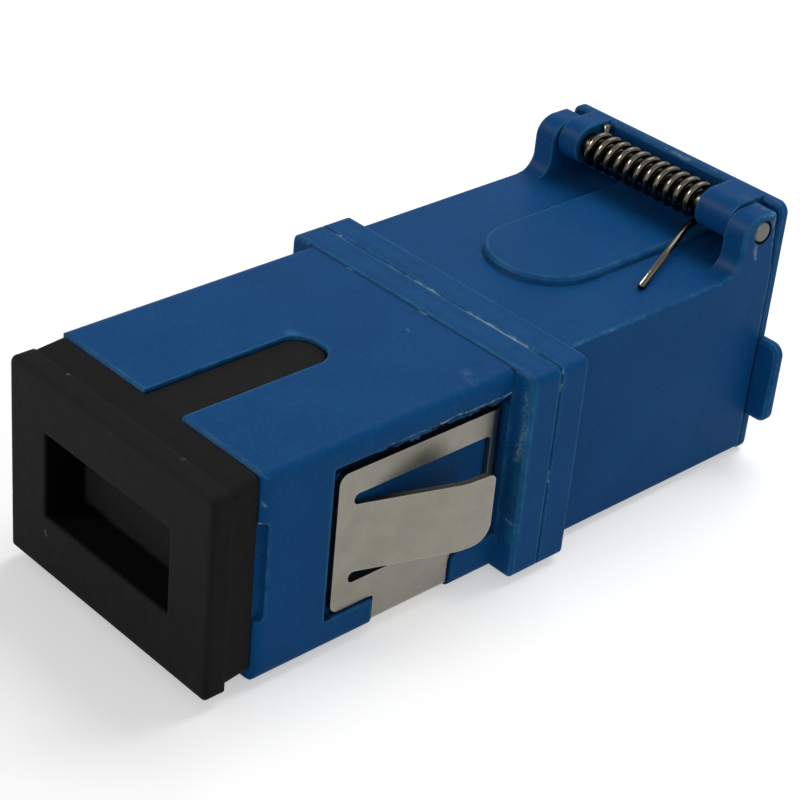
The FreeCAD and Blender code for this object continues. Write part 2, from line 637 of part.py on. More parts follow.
def dust_cap():
    """Front cap: face plate with a plain recess, neck, hollow plug and key rib."""
    low = -TOP + CAP_SHY
    high = TOP - CAP_SHY
    plate = slab_y([(-SIDE, low, CAP_LOW_R), (SIDE, low, CAP_LOW_R), (SIDE, high, CAP_TOP_R),
                    (-SIDE, high, CAP_TOP_R)], CAP_FACE, PLATE_BACK)
    plate = plate.makeFillet(CAP_FACE_BREAK, edges_at_y(plate, CAP_FACE))
    near = section(SIDE - NECK_SIDE, low + NECK_LOW, high - NECK_RISE, PLATE_BACK)
    far = section(SIDE - NECK_SHY_SIDE, -TOP + NECK_SHY_LOW, TOP - NECK_SHY, CAP_BACK)
    neck = Part.makeLoft([near, far], True, True)
    plug_w = PORT_W - 2 * CAP_CLEAR
    plug_h = PORT_H - 2 * CAP_CLEAR
    plug_end = -LATCH_L - CAP_END_GAP
    plug = prism_y(plug_w, plug_h, CAP_BACK - 0.3, plug_end, PORT_R)
    hollow = prism_y(plug_w - 2 * CAP_WALL, plug_h - 2 * CAP_WALL,
                     CAP_FACE + RECESS_D + CAP_WEB, plug_end + 1, PORT_R)
    rib_low = max(plug_h / 2 - CAP_WALL, BARREL_R + CAP_CLEAR)
    rib = slab_z(key_plan(CAP_BACK - 0.05, MOUTH + KEY_L - CAP_CLEAR, CAP_CLEAR),
                 rib_low, TOP - NECK_SHY - 0.02)
    cap = plate.fuse([neck, plug]).cut(hollow).fuse(rib)
    half_w = RECESS_W / 2
    half_h = RECESS_H / 2
    recess = slab_y(rectangle(-half_w, half_w, RECESS_Z - half_h, RECESS_Z + half_h, 0.12),
                    CAP_FACE - 1, CAP_FACE + RECESS_D)
    return cap.cut(recess).removeSplitter()


# ---------------------------------------------------------------- build
PIECES = {
    "front_housing": front_housing,
    "rear_housing": rear_housing,
    "front_latch_insert": lambda: latch_insert(-1),
    "rear_latch_insert": lambda: latch_insert(1),
    "alignment_sleeve": alignment_sleeve,
    "mounting_clip": mounting_clip,
    "dust_cap": dust_cap,
    "shutter": shutter,
    "hinge_pin": hinge_pin,
    "shutter_spring": shutter_spring,
}

os.makedirs("parts", exist_ok=True)
for name, make in PIECES.items():
    shape = make()
    shape.exportStep("parts/" + name + ".step")
    print(name, shape.isValid(), len(shape.Solids), round(shape.Volume, 3))
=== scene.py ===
"""Looks of a shuttered SC fibre adapter: finishes, wear, weld flash, spring wire and studio."""
import functools
import json
import math

import bpy
from bpy.props import FloatProperty, FloatVectorProperty, IntProperty, PointerProperty
from mathutils import Euler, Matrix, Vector, noise


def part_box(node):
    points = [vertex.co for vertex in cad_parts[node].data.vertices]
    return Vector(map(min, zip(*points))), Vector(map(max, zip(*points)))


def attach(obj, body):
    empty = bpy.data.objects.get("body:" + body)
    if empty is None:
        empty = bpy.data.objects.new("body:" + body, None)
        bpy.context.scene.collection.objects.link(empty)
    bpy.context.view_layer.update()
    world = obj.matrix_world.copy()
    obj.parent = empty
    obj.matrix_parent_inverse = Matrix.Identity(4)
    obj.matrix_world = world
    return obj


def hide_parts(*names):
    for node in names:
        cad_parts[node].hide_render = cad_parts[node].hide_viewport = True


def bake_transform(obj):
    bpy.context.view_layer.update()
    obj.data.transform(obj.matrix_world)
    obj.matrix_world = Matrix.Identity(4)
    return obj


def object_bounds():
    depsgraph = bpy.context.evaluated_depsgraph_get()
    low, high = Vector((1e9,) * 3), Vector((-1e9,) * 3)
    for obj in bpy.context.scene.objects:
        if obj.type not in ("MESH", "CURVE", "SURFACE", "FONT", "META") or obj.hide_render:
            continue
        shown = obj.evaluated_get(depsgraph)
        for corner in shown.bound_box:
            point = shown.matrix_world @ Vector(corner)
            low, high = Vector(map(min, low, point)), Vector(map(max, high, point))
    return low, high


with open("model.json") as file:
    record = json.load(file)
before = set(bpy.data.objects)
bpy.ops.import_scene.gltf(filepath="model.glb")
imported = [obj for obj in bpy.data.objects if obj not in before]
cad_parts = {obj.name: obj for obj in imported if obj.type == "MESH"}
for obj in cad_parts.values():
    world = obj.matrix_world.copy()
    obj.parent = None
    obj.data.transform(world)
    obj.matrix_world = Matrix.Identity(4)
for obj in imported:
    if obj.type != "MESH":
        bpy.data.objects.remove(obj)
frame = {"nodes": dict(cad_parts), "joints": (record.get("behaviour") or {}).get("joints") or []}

bl_info = {
    "name": "SC Adapter Looks",
    "version": (1, 0, 0),
    "blender": (4, 5, 0),
    "location": "3D View > Sidebar > Adapter",
    "description": "Finishes, wear marks, weld flash, spring wire and studio of an SC adapter",
    "category": "Object",
}

MM = 0.001
CAD_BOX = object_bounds()
JOINT = next(j for j in frame["joints"] if j["name"] == "shutter_hinge")
HINGE = Vector(JOINT["pos_m"])
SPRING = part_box("shutter_spring")
HOUSINGS = ("front_housing", "rear_housing", "shutter")

# Places in millimetres on the housings.
SIDE_X = 6.25            # body side
SEAM_Z = 4.74            # bottom of the weld groove on top of the collar
SEAM_X = 7.24            # bottom of the weld groove at the collar's side
TOP_Z = 4.74             # just under the body's top
EAR_Z = 7.24             # just under the top of an ear
POCKET_TOP = 3.65        # upper edge of the clip's recess
# Painted shade: these blocks are darkened to stand for the shade inside the gaps round the clip.
POCKET_SHADES = (          # dark gaps between the clip and its recess
    ((5.4, 6.2), (-10.9, -1.6), (3.06, POCKET_TOP)),
    ((5.4, 6.2), (-10.9, -10.38), (-3.4, POCKET_TOP)),
    ((5.4, 5.95), (-9.7, -6.0), (-2.3, -1.2)),
)
# The front step is darkened as painted shade in its crease.
STEPS = (                # where the body's top meets the collar, in front and behind
    ((-6.2, 6.2), (-1.64, -1.5), (4.6, 4.9)),
    ((-6.2, 6.2), (1.5, 1.64), (4.6, 4.9)),
)
# Painted shade on this ring stands for the shade in the gap round the pin's end.
PIN_RING = (0.47, 0.57)  # dark ring round the pin's end, from and to the hinge line
CAP_FACE_Y = -16.57      # outer face of the dust cap
CAP_RECESS = ((-3.925, 3.925), (-14.62, CAP_FACE_Y), (-1.85, 2.05))

# Colours that no panel value sets.
# Near black of the painted shade on the cap.
SHADE_BLACK = (0.001, 0.001, 0.001)
CAP_SPECK = (0.16, 0.16, 0.17)
CERAMIC = (0.86, 0.85, 0.81)
CERAMIC_RING = (0.80, 0.79, 0.75)
CLIP_SHEARED = (0.035, 0.031, 0.024)
# Painted shade of the pin inside the coil and round its end.
PIN_SHADE = (0.05, 0.046, 0.034)
COIL_SHADE = (0.02, 0.018, 0.013)
FLOOR_PALE = (0.80, 0.80, 0.80)
FLOOR_SHADE = (0.78, 0.78, 0.78)

# Stage, in metres.
SENSOR = 36.0            # camera sensor's width, in millimetres
CLIP_START = 0.005
CLIP_END = 10.0
FLOOR_HALF = 1.5
FLOOR_GAP = 0.00002      # how far the floor lies below the part
FLOOR_GLOW = 0.45        # light the floor adds for the rays that Tree.seen lists

# Weld beads, in millimetres.
BEAD_STEP = 0.045        # between two stations along a bead
BEAD_THINNEST = 0.012    # radius under which the bead breaks off
BEAD_THICKEST = 0.062
BEAD_TIP = 0.006
BEAD_SIDES = 7
BEAD_STRANDS = (0.7, 0.4)  # width of each strand against the mark's half width

# Burr over the clip's recess, in millimetres.
BURR_Y = (-8.9, -1.75)
BURR_STATIONS = 150
BURR_THICK = 0.05
BURR_LEAST = 0.005       # how far it hangs at its two ends
BURR_DROP = 0.17         # how far more it hangs at a raggedness of one

# Spring wire.
TURN_STEPS = 28          # steps in each turn of the coil
WIRE_SIDES = 12
WIRE_SLACK = 0.985       # share of the wire radius that is drawn
WOBBLE = (0.012, 0.37)   # share of the coil radius, and waves for each radian
BEND_STEPS = 5
BEND_RUN = 0.0004        # how far past its corner the long leg's bend reaches

# Weld flash along the seam: start, end, half width, share covered, strength.
FLASH = (
    ((-6.25, 0.0, SEAM_Z), (-5.72, 0.0, SEAM_Z), 0.07, 0.7, 0.75),
    ((-2.86, 0.02, SEAM_Z), (-2.3, -0.05, SEAM_Z), 0.06, 0.6, 0.8),
    ((-2.2, 0.0, SEAM_Z), (-1.6, 0.0, SEAM_Z), 0.05, 0.4, 0.55),
    ((-1.25, 0.02, SEAM_Z), (0.2, 0.0, SEAM_Z), 0.075, 0.65, 0.9),
    ((1.85, -0.02, SEAM_Z), (5.28, 0.02, SEAM_Z), 0.09, 0.74, 0.95),
    ((7.2, 0.0, 4.7), (SEAM_X, 0.0, 4.5), 0.09, 0.8, 0.95),
    ((SEAM_X, 0.0, 3.95), (SEAM_X, 0.0, 3.6), 0.07, 0.6, 0.6),
    ((SEAM_X, 0.0, -0.1), (SEAM_X, 0.0, -0.62), 0.075, 0.6, 0.8),
)
# Scratches, scuffs, whitened edges and painted edge highlights, in the same form.
SCRATCHES_AND_HIGHLIGHTS = (
    ((SEAM_X, 0.0, 3.4), (SEAM_X, 0.0, -4.2), 0.05, 0.1, 0.22),
    ((-3.75, -1.56, TOP_Z), (-3.4, -1.56, TOP_Z), 0.06, 0.5, 0.32),
    ((0.63, -1.56, TOP_Z), (1.06, -1.56, TOP_Z), 0.06, 0.6, 0.42),
    ((-0.7, -7.3, TOP_Z), (-0.25, -6.75, TOP_Z), 0.08, 0.5, 0.28),
    ((1.5, -3.0, TOP_Z), (1.65, -3.05, TOP_Z), 0.07, 0.7, 0.2),
    ((3.54, -0.4, TOP_Z), (3.94, -0.2, TOP_Z), 0.07, 0.5, 0.22),
    ((-1.39, 3.86, TOP_Z), (-1.2, 3.95, TOP_Z), 0.08, 0.6, 0.2),
    ((6.12, 1.92, 4.72), (6.23, 2.25, 4.7), 0.08, 0.6, 0.4),
    ((6.02, -14.12, 3.5), (6.14, -14.05, 3.3), 0.1, 0.8, 0.5),
    ((6.1, -14.2, 2.5), (6.1, -14.2, 2.1), 0.1, 0.8, 0.55),
    ((SIDE_X, -8.1, 3.72), (SIDE_X, -5.6, 3.7), 0.045, 0.5, 0.5),
    ((SIDE_X, -5.6, 3.74), (SIDE_X, -1.7, 3.72), 0.05, 0.62, 0.75),
    ((SIDE_X, 13.05, 6.48), (SIDE_X, 13.74, 6.99), 0.035, 0.7, 0.4),
    ((SIDE_X, 13.78, 5.86), (SIDE_X, 13.8, 5.5), 0.05, 0.6, 0.4),
    ((4.9, 13.72, EAR_Z), (6.1, 13.76, EAR_Z), 0.09, 0.6, 0.55),
    ((6.2, 13.78, 7.15), (6.24, 13.8, 6.1), 0.08, 0.65, 0.6),
    ((6.2, 12.9, EAR_Z), (6.2, 13.7, EAR_Z), 0.07, 0.6, 0.6),
    # Painted highlights along the rear collar's right edge and the rear body's top right edge.
    ((7.28, 1.5, 4.2), (7.28, 1.5, -3.6), 0.05, 0.5, 0.3),
    ((6.22, 1.7, 4.72), (6.22, 5.4, 4.72), 0.05, 0.55, 0.3),
    ((-1.94, 14.22, 7.4), (-0.2, 14.22, 7.4), 0.09, 0.5, 0.35),
    ((-0.2, 14.22, 7.4), (0.8, 14.22, 7.4), 0.1, 0.65, 0.5),
)
# Rubbed places and painted edge highlights that only turn paler blue.
RUBBED_AND_HIGHLIT = (
    ((7.05, -1.56, 4.3), (7.05, -1.56, -2.9), 0.42, 0.8, 0.32),
    ((-6.5, 0.8, 4.79), (6.5, 0.8, 4.79), 0.5, 0.6, 0.08),
    ((-6.5, -0.8, 4.79), (6.5, -0.8, 4.79), 0.5, 0.6, 0.1),
    # The next three are painted highlights along the rear body's top right edge and the rear
    # collar's right edge.
    ((6.25, 1.7, TOP_Z), (6.25, 6.0, TOP_Z), 0.14, 0.85, 0.7),
    ((6.25, 6.0, TOP_Z), (6.25, 11.0, TOP_Z), 0.12, 0.6, 0.5),
    ((7.3, 1.5, 4.3), (7.3, 1.5, -3.5), 0.1, 0.85, 0.8),
    ((-1.0, -7.0, TOP_Z), (0.7, -6.6, TOP_Z), 0.3, 0.6, 0.45),
)
# Patches of fine pale specks: start, end, half width, share covered, strength.
SPECKLED = (
    ((6.9, -1.56, 3.85), (7.0, -1.56, 2.5), 0.18, 0.35, 0.3),
    ((7.0, -1.56, 2.4), (6.95, -1.56, 1.9), 0.2, 0.5, 0.42),
    ((6.95, -1.56, 1.6), (6.8, -1.56, 0.9), 0.22, 0.5, 0.45),
    ((6.7, -1.56, -2.1), (7.0, -1.56, -2.15), 0.08, 0.8, 0.45),
    ((SIDE_X, 12.62, 5.95), (SIDE_X, 12.78, 5.25), 0.12, 0.62, 0.6),
    ((SIDE_X, 13.6, 6.6), (SIDE_X, 13.72, 7.0), 0.12, 0.5, 0.4),
    ((4.7, 13.45, EAR_Z), (6.1, 13.6, EAR_Z), 0.25, 0.4, 0.22),
    ((SIDE_X, 11.2, 5.4), (SIDE_X, 11.34, 4.95), 0.2, 0.5, 0.35),
    ((5.2, -3.3, TOP_Z), (5.8, -3.6, TOP_Z), 0.28, 0.35, 0.2),
)
# Chipped places along the upper edge of the clip's recess, painted dark as the shade of the gap
# behind them.
SHADED_CHIPS = (
    ((SIDE_X, -8.2, 3.64), (SIDE_X, -7.6, 3.66), 0.1, 0.8, 0.9),
    ((SIDE_X, -5.9, 3.66), (SIDE_X, -5.2, 3.68), 0.12, 0.9, 1.0),
    ((SIDE_X, -5.0, 3.66), (SIDE_X, -4.6, 3.67), 0.09, 0.7, 0.8),
    ((SIDE_X, -4.3, 3.66), (SIDE_X, -3.8, 3.68), 0.11, 0.9, 0.9),
    ((SIDE_X, -2.9, 3.66), (SIDE_X, -2.6, 3.67), 0.08, 0.7, 0.7),
)
CAP_SPECKS = (
    ((-3.66, -15.66, 4.5), (-3.62, -15.64, 4.5), 0.1, 0.9, 0.5),
    ((0.2, -16.5, 4.22), (0.24, -16.5, 4.2), 0.1, 0.9, 0.55),
    ((3.42, -15.74, 4.5), (3.48, -15.7, 4.5), 0.1, 0.8, 0.3),
    ((-3.9, CAP_FACE_Y, -2.5), (-3.82, CAP_FACE_Y, -2.66), 0.1, 0.7, 0.4),
)


# ---------------------------------------------------------------- values a user may change
class PlasticFinish(bpy.types.PropertyGroup):
    """Colours and grain of the moulded plastics."""

    body: FloatVectorProperty(
        name="Body Blue", description="Base colour of the housings and the shutter",
        subtype="COLOR", size=3, min=0, max=1, default=(0.0040, 0.066, 0.207))
    body_deep: FloatVectorProperty(
        name="Body Shade", description="Deeper blue that clouds the base colour",
        subtype="COLOR", size=3, min=0, max=1, default=(0.0034, 0.058, 0.189))
    # Also the colour of painted edge highlights.
    edge: FloatVectorProperty(
        name="Worn Edge", description="Paler blue of rubbed edges and corners",
        subtype="COLOR", size=3, min=0, max=1, default=(0.045, 0.215, 0.39))
    # Also the colour of a few painted edge highlights.
    stress: FloatVectorProperty(
        name="Stress White", description="Colour of whitened and scuffed plastic",
        subtype="COLOR", size=3, min=0, max=1, default=(0.36, 0.52, 0.64))
    cap: FloatVectorProperty(
        name="Cap Black", description="Base colour of the dust cap",
        subtype="COLOR", size=3, min=0, max=1, default=(0.0092, 0.009, 0.0092))
    insert: FloatVectorProperty(
        name="Insert Cream", description="Base colour of the latch inserts",
        subtype="COLOR", size=3, min=0, max=1, default=(0.72, 0.71, 0.65))
    grain: FloatProperty(
        name="Grain Size", description="Spacing of the fine moulded grain",
        subtype="DISTANCE", unit="LENGTH", min=1e-5, default=0.00007)
    edge_radius: FloatProperty(
        name="Edge Softness", description="How far the edges of the blue parts look rounded",
        subtype="DISTANCE", unit="LENGTH", min=0, default=0.00022)
    cap_radius: FloatProperty(
        name="Cap Edge Softness", description="How far the cap's edges look rounded",
        subtype="DISTANCE", unit="LENGTH", min=0, default=0.0003)
    # Reach of the painted shade that darkens gaps and crevices.
    gap: FloatProperty(
        name="Gap Depth", description="How near two faces are where a gap goes dark",
        subtype="DISTANCE", unit="LENGTH", min=0, default=0.0003)


class SteelFinish(bpy.types.PropertyGroup):
    """Colours of the steel parts."""

    clip: FloatVectorProperty(
        name="Clip Steel", description="Base colour of the satin clip",
        subtype="COLOR", size=3, min=0, max=1, default=(0.25, 0.241, 0.202))
    wire: FloatVectorProperty(
        name="Wire Steel", description="Base colour of the spring wire",
        subtype="COLOR", size=3, min=0, max=1, default=(0.085, 0.077, 0.06))
    pin: FloatVectorProperty(
        name="Pin Steel", description="Base colour of the hinge pin",
        subtype="COLOR", size=3, min=0, max=1, default=(0.125, 0.123, 0.118))


class SpringWire(bpy.types.PropertyGroup):
    """Sizes of the wound shutter spring."""

    radius: FloatProperty(
        name="Wire Radius", description="Half the wire's thickness",
        subtype="DISTANCE", unit="LENGTH", default=0.000148)
    coil: FloatProperty(
        name="Coil Radius", description="Hinge line to the middle of the wire",
        subtype="DISTANCE", unit="LENGTH", default=0.00073)
    turns: IntProperty(
        name="Turns", description="Whole turns of the coil", min=2, default=11)
    spread: FloatProperty(
        name="Leg Spread", description="Long leg's tip beyond the coil's end",
        subtype="DISTANCE", unit="LENGTH", default=0.00173)
    straight: FloatProperty(
        name="Square Run", description="How far the long leg runs square to the pin",
        subtype="DISTANCE", unit="LENGTH", default=0.001)


class StudioSettings(bpy.types.PropertyGroup):
    """Camera, lamps and floor."""

    eye: FloatVectorProperty(
        name="Camera Place", description="Where the camera stands",
        subtype="TRANSLATION", unit="LENGTH", size=3, default=(0.05616, -0.058348, 0.049225))
    turn: FloatVectorProperty(
        name="Camera Turn", description="Rotation of the camera",
        subtype="EULER", unit="ROTATION", size=3,
        default=(math.radians(58.3241), math.radians(-4.6614), math.radians(47.5255)))
    lens: FloatProperty(
        name="Lens", description="Focal length in millimetres on a 36 mm wide sensor",
        unit="CAMERA", default=101.485)
    key: FloatProperty(
        name="Key Lamp", description="Power of the large lamp above and behind, in watts",
        min=0, default=0.85)
    fill: FloatProperty(
        name="Fill Lamp", description="Power of the lamp at the right side, in watts",
        min=0, default=0.13)
    front: FloatProperty(
        name="Front Lamp", description="Power of the low lamp in front, in watts",
        min=0, default=0.3)
    glint: FloatProperty(
        name="Glint Lamp", description="Power of the lamp that only makes highlights, in watts",
        min=0, default=1.9)
    sky: FloatProperty(
        name="Room Light", description="Strength of the even light of the room",
        min=0, default=0.26)


# ---------------------------------------------------------------- shader helpers
class Tree:
    """Short calls for building one node tree."""

    def __init__(self, tree):
        self.nodes = tree.nodes
        self.links = tree.links

    def add(self, kind, inputs=(), **settings):
        """New node; inputs pairs a socket with a value or with another node's output."""
        node = self.nodes.new(kind)
        for key, value in settings.items():
            setattr(node, key, value)
        for socket, value in dict(inputs).items():
            if isinstance(value, bpy.types.NodeSocket):
                self.links.new(value, node.inputs[socket])
            else:
                node.inputs[socket].default_value = value
        return node

    def maths(self, operation, *values):
        """Output of a Math node."""
        return self.add("ShaderNodeMath", enumerate(values), operation=operation).outputs[0]

    def vector(self, operation, *values):
        """Output of a Vector Math node, the number where it gives one."""
        node = self.add("ShaderNodeVectorMath", enumerate(values), operation=operation)
        single = operation in ("DOT_PRODUCT", "LENGTH", "DISTANCE")
        return node.outputs[1 if single else 0]

    def span(self, value, low, high, bottom=0.0, top=1.0):
        """Value stretched from low..high to bottom..top, smooth and clamped."""
        node = self.add(
            "ShaderNodeMapRange",
            {"Value": value, "From Min": low, "From Max": high,
             "To Min": bottom, "To Max": top},
            interpolation_type="SMOOTHSTEP")
        return node.outputs[0]

    def product(self, *values):
        """Product of several numbers."""
        return functools.reduce(lambda a, b: self.maths("MULTIPLY", a, b), values)

    def strongest(self, *values):
        """Largest of several numbers."""
        return functools.reduce(lambda a, b: self.maths("MAXIMUM", a, b), values)

    def split(self, vector):
        """The three numbers of a vector."""
        return self.add("ShaderNodeSeparateXYZ", {0: vector}).outputs

    def noise(self, point, scale, detail=2.0, rough=0.5):
        """Grey noise at a scale in features per millimetre."""
        node = self.add(
            "ShaderNodeTexNoise",
            {"Vector": point, "Scale": scale, "Detail": detail, "Roughness": rough})
        return node.outputs[0]

    def blend(self, amount, first, second):
        """Colour from first to second."""
        node = self.add("ShaderNodeMix", data_type="RGBA")
        for socket, value in ((0, amount), (6, first), (7, second)):
            if isinstance(value, bpy.types.NodeSocket):
                self.links.new(value, node.inputs[socket])
            elif socket == 0:
                node.inputs[socket].default_value = value
            else:
                node.inputs[socket].default_value = (*value, 1.0)
        return node.outputs[2]

    def bump(self, height, depth, strength=1.0, normal=None):
        """Normal from a height of 0..1 over a depth in metres."""
        values = {"Height": height, "Distance": depth, "Strength": strength}
        if normal is not None:
            values["Normal"] = normal
        return self.add("ShaderNodeBump", values).outputs[0]

    def openness(self, distance):
        """1 on an open face, less where something stands nearer than the distance."""
        node = self.add("ShaderNodeAmbientOcclusion", {"Distance": distance}, samples=4)
        return node.outputs["AO"]

    def edges(self, radius):
        """Mask of edges and corners, and the normal that rounds them."""
        soft = self.add("ShaderNodeBevel", {"Radius": radius}, samples=4).outputs[0]
        plain = self.add("ShaderNodeNewGeometry").outputs["Normal"]
        return self.span(self.vector("DOT_PRODUCT", soft, plain), 0.98, 0.9), soft

    def seen(self):
        """1 for rays from the camera and rays that left a glossy or a clear surface."""
        path = self.add("ShaderNodeLightPath").outputs
        return self.strongest(
            path["Is Glossy Ray"], path["Is Transmission Ray"], path["Is Camera Ray"])

    def principled(self, inputs):
        """Principled shader, joined to the material's output."""
        shader = self.add("ShaderNodeBsdfPrincipled", inputs)
        self.add("ShaderNodeOutputMaterial", {"Surface": shader.outputs[0]})
        return shader


def tinted(colour, factor):
    """Colour made lighter or darker by a factor."""
    return tuple(min(1.0, value * factor) for value in colour)


def new_material(name):
    """Empty material with its tree."""
    material = bpy.data.materials.new(name)
    material.use_nodes = True
    material.node_tree.nodes.clear()
    return material, Tree(material.node_tree)


def millimetres(tree):
    """Position in the part's own frame, in millimetres."""
    place = tree.add("ShaderNodeTexCoord").outputs["Object"]
    return tree.vector("MULTIPLY", place, (1 / MM, 1 / MM, 1 / MM))


def inside(tree, point, ranges, soft=0.06):
    """1 inside a block given by its range along each axis, None for no limit."""
    parts = tree.split(point)
    walls = []
    for axis, ends in enumerate(ranges):
        if ends is None:
            continue
        low, high = sorted(ends)
        walls.append(tree.span(parts[axis], low - soft, low + soft))
        walls.append(tree.span(parts[axis], high + soft, high - soft))
    return tree.product(*walls)


def pin_ring(tree, point, inner, outer, soft=0.03):
    """1 on a ring round the hinge line, at any place across."""
    axis = HINGE / MM
    flat = tree.vector("MULTIPLY", tree.vector("SUBTRACT", point, axis), (0.0, 1.0, 1.0))
    away = tree.vector("LENGTH", flat)
    return tree.product(tree.span(away, inner - soft, inner + soft),
                        tree.span(away, outer + soft, outer - soft))


def mark_group():
    """Node group: a soft broken streak along a line between two points."""
    found = bpy.data.node_groups.get("Mark")
    if found:
        return found
    group = bpy.data.node_groups.new("Mark", "ShaderNodeTree")
    face = group.interface
    for name, kind in (("Point", "NodeSocketVector"), ("Flecks", "NodeSocketFloat"),
                       ("From", "NodeSocketVector"), ("To", "NodeSocketVector"),
                       ("Half Width", "NodeSocketFloat"), ("Cover", "NodeSocketFloat"),
                       ("Strength", "NodeSocketFloat")):
        face.new_socket(name, in_out="INPUT", socket_type=kind)
    face.new_socket("Mask", in_out="OUTPUT", socket_type="NodeSocketFloat")
    tree = Tree(group)
    given = tree.add("NodeGroupInput").outputs
    along = tree.vector("SUBTRACT", given["To"], given["From"])
    offset = tree.vector("SUBTRACT", given["Point"], given["From"])
    share = tree.maths("DIVIDE", tree.vector("DOT_PRODUCT", offset, along),
                       tree.vector("DOT_PRODUCT", along, along))
    share = tree.maths("MINIMUM", tree.maths("MAXIMUM", share, 0.0), 1.0)
    scaled = tree.add("ShaderNodeVectorMath", {0: along, "Scale": share}, operation="SCALE")
    nearest = tree.vector("ADD", given["From"], scaled.outputs[0])
    away = tree.maths("DIVIDE", tree.vector("DISTANCE", given["Point"], nearest),
                      given["Half Width"])
    bare, drop = 0.62, 0.26     # fleck level that shows with no cover, and its fall with cover
    limit = tree.maths("SUBTRACT", bare, tree.maths("MULTIPLY", given["Cover"], drop))
    broken = tree.span(tree.maths("SUBTRACT", given["Flecks"], limit), -0.07, 0.09)
    mask = tree.product(tree.span(away, 1.3, 0.0), broken, given["Strength"])
    tree.add("NodeGroupOutput", {"Mask": mask})
    return group


def swayed(tree, point):
    """Points moved a little, so that no streak runs dead straight."""
    wander = tree.add("ShaderNodeTexNoise",
                      {"Vector": point, "Scale": 2.2, "Detail": 1.0}).outputs[1]
    middle = (0.5, 0.5, 0.5)
    reach = (0.2, 0.2, 0.2)
    shift = tree.vector("MULTIPLY", tree.vector("SUBTRACT", wander, middle), reach)
    return tree.vector("ADD", point, shift)


def marks_mask(tree, point, marks, scales=(1.7, 14.0, 0.28)):
    """Strongest of the marks at each place; scales are coarse, fine and share of fine."""
    coarse, fine, share = scales
    flecks = tree.maths(
        "ADD", tree.maths("MULTIPLY", tree.noise(point, coarse, rough=0.6), 1 - share),
        tree.maths("MULTIPLY", tree.noise(point, fine, detail=1.0), share))
    masks = []
    for start, end, width, cover, strength in marks:
        node = tree.add("ShaderNodeGroup", node_tree=mark_group())
        tree.links.new(point, node.inputs["Point"])
        tree.links.new(flecks, node.inputs["Flecks"])
        for name, value in (("From", start), ("To", end), ("Half Width", width),
                            ("Cover", cover), ("Strength", strength)):
            node.inputs[name].default_value = value
        masks.append(node.outputs[0])
    return tree.strongest(*masks)


def finish_nodes(names, material):
    """Give the named CAD nodes one material."""
    for name in names:
        slots = frame["nodes"][name].material_slots
        if not slots:
            raise RuntimeError(name + " has no material slot")
        for slot in slots:
            slot.material = material


# ---------------------------------------------------------------- finishes
def body_plastic(finish):
    """Blue moulded plastic: clouding, grain, edges paler from wear and a painted highlight,
    painted shade in gaps and creases, whitened marks.
    """
    material, tree = new_material("Body Blue Plastic")
    point = millimetres(tree)
    cloud = tree.span(tree.noise(point, 0.35, detail=3.0), 0.35, 0.65)
    fine = tree.noise(point, 7.0, detail=3.0, rough=0.7)
    base = tree.blend(cloud, finish.body, finish.body_deep)
    base = tree.blend(tree.span(fine, 0.42, 0.75, top=0.6), base, tinted(finish.body, 1.5))
    open_face = tree.openness(finish.gap)
    edge, rounded = tree.edges(finish.edge_radius)
    patchy = tree.noise(point, 1.3, detail=3.0, rough=0.7)
    steps = [inside(tree, point, step, soft=0.05) for step in STEPS]
    # Paler blue on convex edges: partly wear, partly a painted highlight along the rounded
    # edges.
    rubbed_and_highlit = tree.product(
        edge, tree.span(open_face, 0.5, 0.9),
        tree.span(patchy, 0.3, 0.68, bottom=0.22),
        *(tree.maths("SUBTRACT", 1.0, step) for step in steps))
    place = swayed(tree, point)
    worn_and_highlit = marks_mask(tree, place, RUBBED_AND_HIGHLIT, scales=(1.6, 12.0, 0.5))
    base = tree.blend(tree.strongest(rubbed_and_highlit, worn_and_highlit), base, finish.edge)
    # Painted shade: a near-black blue darkens the gaps, the crease at the front step, the gaps
    # round the clip and the ring round the pin's end.
    deep = tinted(finish.body, 0.1)
    painted_shade = tree.strongest(
        tree.span(open_face, 0.55, 0.1),
        tree.maths("MULTIPLY", steps[0], 0.55),
        *(inside(tree, point, gap, soft=0.04) for gap in POCKET_SHADES),
        pin_ring(tree, point, *PIN_RING))
    base = tree.blend(painted_shade, base, deep)
    # Painted shade in the chipped places along the recess edge.
    base = tree.blend(marks_mask(tree, place, SHADED_CHIPS), base, deep)
    marks = tree.strongest(marks_mask(tree, place, (*FLASH, *SCRATCHES_AND_HIGHLIGHTS)),
                           marks_mask(tree, place, SPECKLED, scales=(4.5, 22.0, 0.6)))
    base = tree.blend(marks, base, finish.stress)
    rough = tree.maths("ADD", tree.span(fine, 0.3, 0.7, bottom=0.40, top=0.50),
                       tree.maths("MULTIPLY", marks, 0.2))
    grain = tree.noise(point, MM / finish.grain, detail=1.0, rough=0.6)
    height = tree.maths("ADD", tree.maths("MULTIPLY", grain, 0.6),
                        tree.maths("MULTIPLY", tree.noise(point, 2.2), 0.8))
    tree.principled({
        "Base Color": base, "Roughness": rough, "IOR": 1.45, "Specular IOR Level": 0.045,
        "Normal": tree.bump(height, depth=0.000013, strength=0.7, normal=rounded)})
    return material


